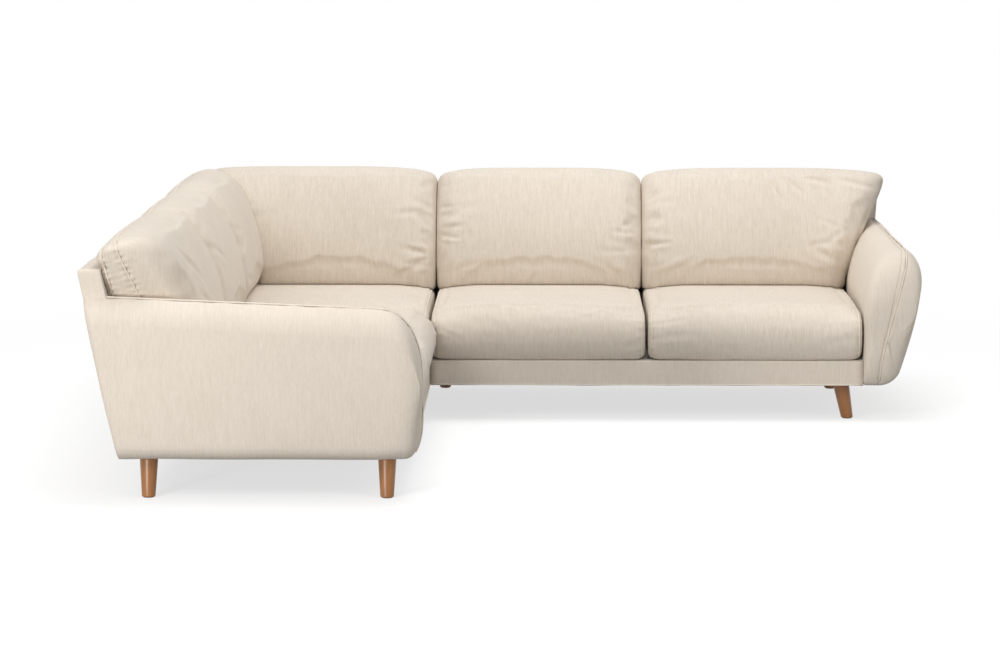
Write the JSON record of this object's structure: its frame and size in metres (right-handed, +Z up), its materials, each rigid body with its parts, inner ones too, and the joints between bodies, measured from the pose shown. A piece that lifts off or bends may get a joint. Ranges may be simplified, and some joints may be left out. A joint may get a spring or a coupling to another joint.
{
  "type": "corner sofa",
  "caption": "L-shaped fabric corner sofa with loose seat and back cushions, padded arms that lean outwards, and short tapered wooden legs.",
  "frame": {"origin": "on the floor below the middle of the sofa's bounding box", "axes": "+Z up; one run lies along +X with its arm at the +X end and its back towards +Y; the other lies along Y with its arm at the -Y end and its back towards -X; the corner is at -X, +Y"},
  "size_m": [2.753, 2.753, 0.8283],
  "materials": {
    "cushion_cloth": "matt woven cloth with a fine upright slub",
    "cover_cloth": "matt woven cloth with a fine upright slub",
    "platform_cloth": "plain lining cloth over felt",
    "webbing": "elastic webbing",
    "dust_cloth": "thin non-woven cloth",
    "timber": "sawn softwood",
    "oak_legs": "satin lacquered"
  },
  "bodies": {
    "frame": {"corner_deck": "platform_cloth", "corner_dust_cover": "dust_cloth", "corner_inner_leg": "oak_legs", "corner_rear_leg": "oak_legs", "corner_webbing": "webbing", "left_arm_cover": "cover_cloth", "left_arm_frame": "timber", "left_arm_pad": "cover_cloth", "left_back_cover": "cover_cloth", "left_back_frame": "timber", "left_back_pad": "cover_cloth", "left_corner_back_cover": "cover_cloth", "left_corner_back_frame": "timber", "left_corner_back_pad": "cover_cloth", "left_corner_rear_rail": "timber", "left_corner_side_beam": "timber", "left_dust_cover": "dust_cloth", "left_end_beam": "timber", "left_front_border": "cover_cloth", "left_front_leg": "oak_legs", "left_front_rail": "timber", "left_joint_beam": "timber", "left_joint_leg": "oak_legs", "left_rear_leg": "oak_legs", "left_rear_rail": "timber", "left_seat_deck": "platform_cloth", "left_seat_webbing": "webbing", "right_arm_cover": "cover_cloth", "right_arm_frame": "timber", "right_arm_pad": "cover_cloth", "right_back_cover": "cover_cloth", "right_back_frame": "timber", "right_back_pad": "cover_cloth", "right_corner_back_cover": "cover_cloth", "right_corner_back_frame": "timber", "right_corner_back_pad": "cover_cloth", "right_corner_rear_rail": "timber", "right_corner_side_beam": "timber", "right_dust_cover": "dust_cloth", "right_end_beam": "timber", "right_front_border": "cover_cloth", "right_front_leg": "oak_legs", "right_front_rail": "timber", "right_joint_beam": "timber", "right_joint_leg": "oak_legs", "right_rear_leg": "oak_legs", "right_rear_rail": "timber", "right_seat_deck": "platform_cloth", "right_seat_webbing": "webbing"},
    "corner_seat": {"corner_seat_cushion": "cushion_cloth"},
    "left_inner_seat": {"left_inner_seat_cushion": "cushion_cloth"},
    "left_outer_seat": {"left_outer_seat_cushion": "cushion_cloth"},
    "right_inner_seat": {"right_inner_seat_cushion": "cushion_cloth"},
    "right_outer_seat": {"right_outer_seat_cushion": "cushion_cloth"},
    "left_corner_back": {"left_corner_back_cushion": "cushion_cloth"},
    "left_inner_back": {"left_inner_back_cushion": "cushion_cloth"},
    "left_outer_back": {"left_outer_back_cushion": "cushion_cloth"},
    "right_corner_back": {"right_corner_back_cushion": "cushion_cloth"},
    "right_inner_back": {"right_inner_back_cushion": "cushion_cloth"},
    "right_outer_back": {"right_outer_back_cushion": "cushion_cloth"}
  },
  "joints": [
    {"name": "corner_seat_lift", "type": "slide", "parent": "frame", "child": "corner_seat", "axis": [0, 0, 1], "range_m": [0, 0.2]},
    {"name": "left_inner_seat_lift", "type": "slide", "parent": "frame", "child": "left_inner_seat", "axis": [0, 0, 1], "range_m": [0, 0.2]},
    {"name": "left_outer_seat_lift", "type": "slide", "parent": "frame", "child": "left_outer_seat", "axis": [0, 0, 1], "range_m": [0, 0.2]},
    {"name": "right_inner_seat_lift", "type": "slide", "parent": "frame", "child": "right_inner_seat", "axis": [0, 0, 1], "range_m": [0, 0.2]},
    {"name": "right_outer_seat_lift", "type": "slide", "parent": "frame", "child": "right_outer_seat", "axis": [0, 0, 1], "range_m": [0, 0.2]},
    {"name": "left_corner_back_lift", "type": "slide", "parent": "corner_seat", "child": "left_corner_back", "axis": [0, 0, 1], "range_m": [0, 0.36]},
    {"name": "left_inner_back_lift", "type": "slide", "parent": "left_inner_seat", "child": "left_inner_back", "axis": [0, 0, 1], "range_m": [0, 0.36]},
    {"name": "left_outer_back_lift", "type": "slide", "parent": "left_outer_seat", "child": "left_outer_back", "axis": [0, 0, 1], "range_m": [0, 0.36]},
    {"name": "right_corner_back_lift", "type": "slide", "parent": "corner_seat", "child": "right_corner_back", "axis": [0, 0, 1], "range_m": [0, 0.36]},
    {"name": "right_inner_back_lift", "type": "slide", "parent": "right_inner_seat", "child": "right_inner_back", "axis": [0, 0, 1], "range_m": [0, 0.36]},
    {"name": "right_outer_back_lift", "type": "slide", "parent": "right_outer_seat", "child": "right_outer_back", "axis": [0, 0, 1], "range_m": [0, 0.36]}
  ]
}
